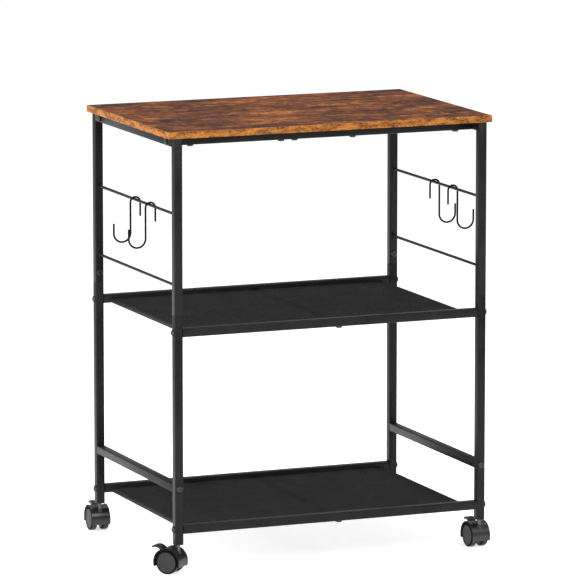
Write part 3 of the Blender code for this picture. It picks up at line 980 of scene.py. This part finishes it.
@dataclass
class WireHook:
    """A double hook of round wire: a tight crown over the rod, a long shank and a wide open bend."""

    palette: Palette
    place: str
    wire: float = 0.0017
    crown: float = 0.0090
    bend: float = 0.0154
    inner_tail: float = 0.0247
    outer_tail: float = 0.0175
    wire_sides: int = 16
    end_round: float = 0.0004

    def build(self, joint: dict) -> None:
        """Draw the wire out from the inner tail to the outer one.

        Args:
            joint: The hook's swing joint, whose place is the rod's middle line.
        """
        node = self.place + "_hook"
        low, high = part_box(node)
        out = 1 if self.place.startswith("right") else -1
        rod = Vector(joint["pos_m"])
        crown_z = high.z - self.wire - self.crown
        bend_z = low.z + self.wire + self.bend
        start = Vector((rod.x - out * self.crown, rod.y, crown_z - self.inner_tail))
        blank = Blank.disc(node + "_wire", self.wire, start, Axis.Z, self.wire_sides)
        blank.extrude(Vector((0, 0, self.inner_tail)))
        blank.spin(180.0 * out, 24, Vector((rod.x, rod.y, crown_z)), Axis.Y.unit)
        blank.extrude(Vector((0, 0, bend_z - crown_z)))
        centre = Vector((rod.x + out * (self.crown + self.bend), rod.y, bend_z))
        blank.spin(-180.0 * out, 32, centre, Axis.Y.unit)
        blank.extrude(Vector((0, 0, self.outer_tail)))
        blank.weld()
        ends = (start.z, bend_z + self.outer_tail)
        blank.edges(lambda middle, along: abs(along.z) < 1 - ALONG
                    and min(abs(middle.z - end) for end in ends) < TINY)
        blank.bevel(self.end_round, 3)
        fit(blank.done(40.0), node, Slot.HOOK, self.palette.hook, node)


# ---------------------------------------------------------------- fasteners


@dataclass
class Fasteners:
    """Button-head bolts with a hexagon socket, and pan-head screws with a cross."""

    palette: Palette
    head: float = 0.0057
    head_tall: float = 0.0030
    head_round: float = 0.0019
    foot_round: float = 0.0003
    socket: float = 0.0024
    socket_deep: float = 0.0017
    shank: float = 0.0030
    shank_long: float = 0.0120
    bolt_edge: float = 0.00012
    screw_head: float = 0.0058
    screw_tall: float = 0.0028
    screw_round: float = 0.0015
    screw_edge: float = 0.0001
    cross_long: float = 0.0030
    cross_half: float = 0.00055
    cross_deep: float = 0.0013
    screw_lines: tuple[float, ...] = (-0.247, -0.080, -0.055, 0.053, 0.246)
    brace_line: float = 0.0154
    joint_bolt_rise: float = 0.0177

    def bolt_pattern(self) -> bpy.types.Object:
        """A bolt along +Z, with the underside of its head at the origin.

        Returns:
            The pattern.
        """
        blank = Blank.rod("bolt_pattern", self.head, Vector(), self.head_tall, Axis.Z, 40)
        blank.edges(lambda middle, along: middle.z > self.head_tall - TINY).bevel(self.head_round, 6)
        blank.edges(lambda middle, along: middle.z < TINY).bevel(self.foot_round, 2)
        blank.faces(lambda middle, normal: normal.z < -ALONG).inset(self.head - self.shank - self.foot_round)
        blank.extrude(Vector((0, 0, -self.shank_long)))
        bolt = blank.done()
        floor = Vector((0, 0, self.head_tall - self.socket_deep))
        tool = Blank.rod("socket_tool", self.socket, floor, self.head_tall, Axis.Z, 6).done()
        combine(bolt, tool, "DIFFERENCE")
        soften(bolt, self.bolt_edge, 1)
        return bolt

    def screw_pattern(self) -> bpy.types.Object:
        """A pan-head screw along +Z, with the underside of its head at the origin.

        Returns:
            The pattern.
        """
        blank = Blank.rod("screw_pattern", self.screw_head, Vector(), self.screw_tall, Axis.Z, 36)
        blank.edges(lambda middle, along: middle.z > self.screw_tall - TINY).bevel(self.screw_round, 5)
        screw = blank.done()
        for x, y in ((self.cross_long, self.cross_half), (self.cross_half, self.cross_long)):
            corner = Vector((x, y, self.screw_tall + self.cross_deep))
            foot = Vector((-x, -y, self.screw_tall - self.cross_deep))
            combine(screw, Blank.block("cross_tool", foot, corner).done(), "DIFFERENCE")
        soften(screw, self.screw_edge, 1)
        return screw

    def build(self) -> None:
        """Put every bolt and screw in its place."""
        bolt = self.bolt_pattern()
        screw = self.screw_pattern()
        for corner in Corner:
            self.bolt_leg(bolt, corner)
        down = -Axis.Z.unit
        for side in ("front", "back"):
            low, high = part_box(side + "_top_rail")
            for index, place in enumerate(self.screw_lines, start=1):
                spot = Vector((place, (low.y + high.y) / 2, low.z))
                self.seat(screw, f"{side}_board_screw_{index}", spot, down)
            for deck in ("middle", "bottom"):
                low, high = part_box(f"{deck}_shelf_{side}_rail")
                spot = Vector((self.brace_line, (low.y + high.y) / 2, low.z))
                self.seat(screw, f"{deck}_{side}_brace_screw", spot, down)
        discard(bolt, screw)

    def bolt_leg(self, bolt: bpy.types.Object, corner: Corner) -> None:
        """Put the bolts of one leg in: foot rail, leg joint, both shelf rails and top rail.

        Args:
            bolt: The pattern.
            corner: The leg.
        """
        name = corner.name
        out_x, out_y = (Vector((corner.value[0], 0, 0)), Vector((0, corner.value[1], 0)))
        low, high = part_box(name + "_lower_leg")
        leg = (low + high) / 2
        outer_x = high.x if out_x.x > 0 else low.x
        outer_y, inner_y = (high.y, low.y) if out_y.y > 0 else (low.y, high.y)
        foot_z = middle_of(("right" if out_x.x > 0 else "left") + "_foot_rail").z
        joint_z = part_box(name + "_upper_leg")[0].z + self.joint_bolt_rise
        rail = middle_of(("back" if out_y.y > 0 else "front") + "_top_rail")
        foot = Vector((leg.x, outer_y, foot_z))
        self.seat(bolt, name + "_foot_bolt", foot, out_y, name + "_foot_rail_bolt")
        self.seat(bolt, name + "_joint_bolt", Vector((leg.x, inner_y, joint_z)), -out_y)
        for deck in ("middle", "bottom"):
            spot = Vector((outer_x, leg.y, middle_of(deck + "_shelf_front_rail").z))
            self.seat(bolt, f"{name}_{deck}_shelf_bolt", spot, out_x)
        self.seat(bolt, name + "_top_rail_bolt", Vector((outer_x, rail.y, rail.z)), out_x)

    def seat(self, pattern: bpy.types.Object, name: str, spot: Vector, way: Vector, *nodes: str) -> None:
        """Copy a fastener to a spot, with its head pointing a given way.

        Args:
            pattern: The bolt or screw.
            name: The copy's name.
            spot: Where the underside of its head goes.
            way: Which way its head points.
            nodes: The CAD nodes that it replaces.
        """
        turn = Vector((0, 0, 1)).rotation_difference(way).to_matrix().to_4x4()
        piece = copied(pattern, name, Matrix.Translation(spot) @ turn)
        fit(piece, "frame", Slot.BOLT, self.palette.bolt, *nodes)


# ---------------------------------------------------------------- castors


@dataclass
class CastorPattern:
    """One castor as it stands on the floor below its stem: X along the axle, +Y the way the wheels trail."""

    palette: Palette
    trail: float = 0.0148
    radius: float = 0.0205
    hood_outer: float = 0.0250
    hood_inner: float = 0.0216
    hood_half: float = 0.0170
    hood_round: float = 0.00045
    hood_ends: float = 19.0
    lip_wide: float = 0.0019
    lip_high: float = 0.0007
    lip_facing: float = 0.9
    web_half: float = 0.0046
    web_bottom: float = 0.0124
    web_merge: float = 0.0003
    boss_radius: float = 0.0048
    boss_round: float = 0.0006
    boss_foot: float = 0.0300
    boss_top: float = 0.0405
    slot_half: float = 0.0070
    slot_reach: tuple[float, float] = (0.0110, 0.0300)
    slot_from: float = 26.0
    slot_to: float = 78.0
    wheel_inner: float = 0.0050
    wheel_outer: float = 0.0166
    wheel_rounds: tuple[float, float] = (0.0030, 0.0024)
    disc_radius: float = 0.0178
    disc_inset: float = 0.0007
    disc_steps: tuple[tuple[float, float], ...] = ((0.0, 0.0006), (0.0042, 0.0003), (0.0050, -0.0004))
    disc_corners: tuple[float, ...] = (0.0004, 0.0003, 0.0003)
    disc_edge: float = 0.00015
    shoulder_facing: float = 0.35
    pivot: tuple[float, float] = (0.0279, 0.0365)
    tab_centre: tuple[float, float] = (0.0376, 0.0325)
    tab_radius: float = 0.0161
    tab_root: float = 149.0
    tab_tip: float = 49.5
    tab_half: float = 0.0064
    tab_start: float = 0.002
    tip_thick: float = 0.0030
    taper: float = 0.00005
    hub_radius: float = 0.0044
    hub_half: float = 0.0042
    neck_front: float = 0.0030
    neck_back: float = 0.0050
    neck_tall: float = 0.0060
    lever_round: float = 0.0005
    pin_radius: float = 0.0013
    pin_half: float = 0.0048
    pin_round: float = 0.0003
    stem_radius: float = 0.0040
    stem_foot: float = 0.0352
    stem_top: float = 0.0700
    stem_round: float = 0.0004
    waist: tuple[float, float] = (0.0482, 0.0490)
    waist_share: float = 0.86

    @property
    def axle(self) -> Vector:
        """The middle of the axle."""
        return Vector((0, self.trail, self.radius))

    def around(self, radius: float, degrees: float) -> Vector:
        """A point round the axle, at an angle above the way the wheels trail."""
        angle = math.radians(degrees)
        return self.axle + Vector((0, radius * math.cos(angle), radius * math.sin(angle)))

    def reach(self, spot: Vector) -> float:
        """How far a point is from the axle's line."""
        offset = spot - self.axle
        return math.hypot(offset.y, offset.z)

    def hood(self) -> bpy.types.Object:
        """The arched cover with a raised lip at each side, and the web between the wheels.

        Returns:
            The hood.
        """
        start = -self.hood_ends
        thick = self.hood_outer - self.lip_high - self.hood_inner
        middle = self.around(self.hood_inner + thick / 2, start)
        cover = Blank.plate("hood_cover", middle, 2 * self.hood_half, thick, start)
        for side in (-1, 1):
            cover.slice(Vector((side * (self.hood_half - self.lip_wide), 0, 0)), Axis.X.unit)
        radial = self.around(1.0, start) - self.axle
        top = self.hood_outer - self.lip_high - 10 * TINY
        cover.edges(lambda spot, along: (spot - self.axle).dot(radial) > top and abs(along.x) > ALONG
                    and abs(spot.x) > self.hood_half - self.lip_wide)
        cover.extrude(radial * self.lip_high)
        cover.everything().spin(180.0 + 2 * self.hood_ends, 70, self.axle, Axis.X.unit)
        hood = cover.weld().done()
        soften(hood, self.hood_round, 3, 50.0)
        start = self.axle - Axis.X.unit * self.web_half
        web = Blank.rod("hood_web", self.hood_inner + self.web_merge, start, 2 * self.web_half, Axis.X, 64)
        web.slice(Axis.Z.unit * self.web_bottom, -Axis.Z.unit, drop=True)
        combine(hood, web.done(), "UNION")
        boss = Blank.rod("hood_boss", self.boss_radius, Axis.Z.unit * self.boss_foot,
                         self.boss_top - self.boss_foot, Axis.Z, 40)
        boss.edges(lambda spot, along: spot.z > self.boss_top - 10 * TINY).bevel(self.boss_round, 3)
        combine(hood, boss.done(), "UNION")
        inner, outer = self.slot_reach
        slot = Blank.plate("hood_slot", self.around((inner + outer) / 2, self.slot_from),
                           2 * self.slot_half, outer - inner, self.slot_from)
        slot.everything().spin(self.slot_to - self.slot_from, 12, self.axle, Axis.X.unit)
        combine(hood, slot.weld().done(), "DIFFERENCE")
        smoothed(hood, 35.0)
        # The hood's lip ends get the near-black rim nylon: painted shade.
        two_tone(hood, self.palette.hood, self.palette.rim, self.is_painted_shade_lip_end)
        return hood

    def is_painted_shade_lip_end(self, spot: Vector, normal: Vector) -> bool:
        """Whether a face is the end of a hood's lip, which is painted near-black and matt as painted shade.
        """
        return abs(normal.x) > self.lip_facing and self.reach(spot) > self.hood_inner - self.web_merge

    def is_painted_shade_shoulder(self, spot: Vector, normal: Vector) -> bool:
        """Whether a face is on a wheel's shoulder, outside its disc, which is painted near-black as painted
        shade.
        """
        return abs(normal.x) > self.shoulder_facing and self.reach(spot) > self.disc_radius

    def wheel(self, name: str, side: int) -> bpy.types.Object:
        """A wheel with rounded shoulders, a stepped disc face and a hub cap.

        Args:
            name: The pattern's name.
            side: -1 for the left wheel and 1 for the right one.

        Returns:
            The wheel.
        """
        start = Vector((side * self.wheel_inner if side > 0 else -self.wheel_outer, self.trail, self.radius))
        blank = Blank.rod(name, self.radius, start, self.wheel_outer - self.wheel_inner, Axis.X, 72)
        inner, outer = self.wheel_rounds
        blank.edges(lambda spot, along: abs(spot.x - side * self.wheel_outer) < TINY).bevel(outer, 5)
        blank.edges(lambda spot, along: abs(spot.x - side * self.wheel_inner) < TINY).bevel(inner, 4)
        blank.faces(lambda spot, normal: normal.x * side > ALONG).inset(self.disc_inset)
        for (width, depth), corner in zip(self.disc_steps, self.disc_corners):
            if width:
                blank.inset(width)
            blank.extrude(Axis.X.unit * -side * depth).inset(corner)
        wheel = blank.done(28.0)
        soften(wheel, self.disc_edge, 2, 50.0)
        # The wheel's shoulders get the near-black rim nylon: painted shade where they sit under the hood.
        two_tone(wheel, self.palette.wheel, self.palette.rim, self.is_painted_shade_shoulder)
        return wheel

    def stem(self) -> bpy.types.Object:
        """The steel stem, with a narrow collar where it leaves the leg.

        Returns:
            The stem.
        """
        blank = Blank.rod("castor_stem", self.stem_radius, Axis.Z.unit * self.stem_foot,
                          self.stem_top - self.stem_foot, Axis.Z, 36)
        blank.edges(lambda spot, along: abs(along.z) < 1 - ALONG).bevel(self.stem_round, 2)
        low, high = self.waist
        for height in (high, low):
            blank.slice(Axis.Z.unit * height, Axis.Z.unit)
        blank.faces(lambda spot, normal: abs(normal.z) < 0.1 and low < spot.z < high)
        blank.resize((self.waist_share, self.waist_share, 1.0), Axis.Z.unit * (low + high) / 2)
        return blank.done()

    def lever(self) -> bpy.types.Object:
        """The brake lever: a curved tab with a narrow neck and a round hub on its pin.

        Returns:
            The lever.
        """
        centre = Vector((0, *self.tab_centre))
        root = math.radians(self.tab_root)
        middle_reach = self.tab_radius - self.tab_start / 2
        middle = centre + Vector((0, math.cos(root), math.sin(root))) * middle_reach
        tab = Blank.plate("brake_tab", middle, 2 * self.tab_half, self.tab_start, self.tab_root)
        tab.everything().spin(self.tab_tip - self.tab_root, 18, centre, Axis.X.unit)
        tab.weld()
        mesh = bmesh.from_edit_mesh(tab.obj.data)
        for vert in mesh.verts:
            offset = vert.co - centre
            reach = math.hypot(offset.y, offset.z)
            if reach < middle_reach:
                degrees = math.degrees(math.atan2(offset.z, offset.y))
                thick = self.tip_thick + self.taper * (degrees - self.tab_tip)
                grown = (self.tab_radius - thick) / reach
                vert.co = centre + Vector((offset.x, offset.y * grown, offset.z * grown))
        bmesh.update_edit_mesh(tab.obj.data)
        lever = tab.done()
        pivot = Vector((0, *self.pivot))
        neck = Blank.block("brake_neck", pivot - Vector((self.hub_half, self.neck_front, 0)),
                           pivot + Vector((self.hub_half, self.neck_back, self.neck_tall)))
        combine(lever, neck.done(), "UNION")
        start = pivot - Axis.X.unit * self.hub_half
        hub = Blank.rod("brake_hub", self.hub_radius, start, 2 * self.hub_half, Axis.X)
        combine(lever, hub.done(), "UNION")
        soften(lever, self.lever_round, 3, 45.0)
        return lever

    def pin(self) -> bpy.types.Object:
        """The short steel pin that the brake lever turns on.

        Returns:
            The pin.
        """
        start = Vector((-self.pin_half, *self.pivot))
        blank = Blank.rod("brake_pin", self.pin_radius, start, 2 * self.pin_half, Axis.X, 20)
        blank.edges(lambda spot, along: abs(along.x) < 1 - ALONG).bevel(self.pin_round, 2)
        return blank.done()


@dataclass
class Castors:
    """The four castors, copied from one pattern to their stems and turned to their headings."""

    palette: Palette

    def build(self, joints: dict[str, dict]) -> None:
        """Place every castor.

        Args:
            joints: The frame's joints by name.
        """
        pattern = CastorPattern(self.palette)
        hood, stem, lever, pin = pattern.hood(), pattern.stem(), pattern.lever(), pattern.pin()
        wheels = {"left": pattern.wheel("left_wheel", -1), "right": pattern.wheel("right_wheel", 1)}
        for corner in Corner:
            name = corner.name
            swivel = Vector(joints[name + "_swivel"]["pos_m"])
            axle = joints[name + "_right_wheel_spin"]["axis"]
            heading = Matrix.Rotation(math.atan2(axle[1], axle[0]), 4, "Z")
            matrix = Matrix.Translation((swivel.x, swivel.y, 0)) @ heading
            castor = name + "_castor"
            for pattern_piece, piece, body, slot, material, nodes in (
                    (hood, "_castor_hood", castor, Slot.CASTOR, self.palette.hood, [name + "_hood"]),
                    (stem, "_castor_stem", "frame", Slot.STEEL, self.palette.steel, [name + "_stem"]),
                    (lever, "_brake_tab", name + "_brake", Slot.CASTOR, self.palette.lever,
                     [name + "_brake_lever"]),
                    (pin, "_brake_pin", castor, Slot.STEEL, self.palette.steel, [])):
                fit(copied(pattern_piece, name + piece, matrix), body, slot, material, *nodes)
            for side, wheel in wheels.items():
                body = f"{name}_{side}_wheel"
                fit(copied(wheel, body + "_disc", matrix), body, Slot.WHEEL, self.palette.wheel, body)
        discard(hood, stem, lever, pin, *wheels.values())


# ---------------------------------------------------------------- studio


@dataclass
class Studio:
    """A pale floor, soft lights and the camera."""

    aim: Vector
    azimuth: float = -22.38
    elevation: float = 9.26
    distance: float = 9.35
    lens: float = 333.6
    sensor: float = 36.0
    far: float = 200.0
    floor: float = 60.0
    sky: float = 0.44
    glow: float = 0.64

    def build(self) -> None:
        """Set up floor, world, lights and camera."""
        deselect_all()
        bpy.ops.mesh.primitive_plane_add(size=self.floor, location=(0, 0, 0))
        ground = bpy.context.view_layer.objects.active
        ground.name = "studio_floor"
        ground.data.materials.append(self.paper())
        world = bpy.data.worlds.new("studio_world")
        bpy.context.scene.world = world
        world.use_nodes = True
        background = world.node_tree.nodes["Background"]
        background.inputs["Color"].default_value = (1.0, 1.0, 1.0, 1.0)
        background.inputs["Strength"].default_value = self.sky
        self.light("left", (-3.0, -0.4, 1.5), 1.8, 75.0)
        self.light("front", (0.9, -3.2, 2.6), 1.8, 60.0)
        self.light("top", (0.2, 0.2, 3.2), 2.2, 55.0)
        bpy.context.scene.view_settings.view_transform = "Standard"
        self.camera()

    def paper(self) -> bpy.types.Material:
        """White studio paper that glows a little, so that it stays even to its far edge.

        Returns:
            The floor's material.
        """
        graph = Graph("studio_paper")
        tone = graph.noise(graph.stretched((0.6, 0.6, 0.6)), 1.0)
        paper = graph.mixed(tone, (0.80, 0.80, 0.80), (0.82, 0.82, 0.82))
        return graph.dress(Base_Color=paper, Roughness=0.95, Specular_IOR_Level=0.0,
                           Emission_Color=(1.0, 1.0, 1.0), Emission_Strength=self.glow)

    def light(self, name: str, spot: tuple[float, float, float], size: float, watts: float) -> None:
        """Add a square soft light that looks at the stand.

        Args:
            name: The light's name.
            spot: Where it hangs.
            size: How long its sides are.
            watts: How strong it is.
        """
        data = bpy.data.lights.new(name, "AREA")
        data.energy = watts
        data.size = size
        obj = bpy.data.objects.new(name, data)
        obj.location = spot
        obj.rotation_euler = (self.aim - Vector(spot)).to_track_quat("-Z", "Y").to_euler()
        bpy.context.scene.collection.objects.link(obj)

    def camera(self) -> None:
        """Add the camera and make it the scene's."""
        azimuth, elevation = math.radians(self.azimuth), math.radians(self.elevation)
        way = Vector((math.sin(azimuth) * math.cos(elevation), -math.cos(azimuth) * math.cos(elevation),
                      math.sin(elevation)))
        data = bpy.data.cameras.new("camera")
        data.lens = self.lens
        data.sensor_width = self.sensor
        data.clip_end = self.far
        obj = bpy.data.objects.new("camera", data)
        obj.location = self.aim + way * self.distance
        obj.rotation_euler = (-way).to_track_quat("-Z", "Y").to_euler()
        bpy.context.scene.collection.objects.link(obj)
        bpy.context.scene.camera = obj


def main() -> None:
    """Build the stand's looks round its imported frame."""
    logging.basicConfig(level=logging.INFO, format="%(message)s")
    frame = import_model()
    joints = {joint["name"]: joint for joint in frame["joints"]}
    palette = Palette()
    Studio(Vector((0.0, middle_of("tabletop").y, AIM_HEIGHT))).build()
    Board(palette).build()
    TubeFrame(palette).build()
    for deck in ("middle", "bottom"):
        WovenDeck(palette, deck).build()
    SideRods(palette).build()
    for place in ("left_back", "left_front", "right_back", "right_front"):
        WireHook(palette, place).build(joints[place + "_hook_swing"])
    Fasteners(palette).build()
    Castors(palette).build(joints)
    for corner in Corner:
        axle = frame["nodes"][corner.name + "_axle"]
        axle.data.materials.clear()
        axle.data.materials.append(palette.steel)
    deselect_all()


if __name__ == "__main__":
    main()
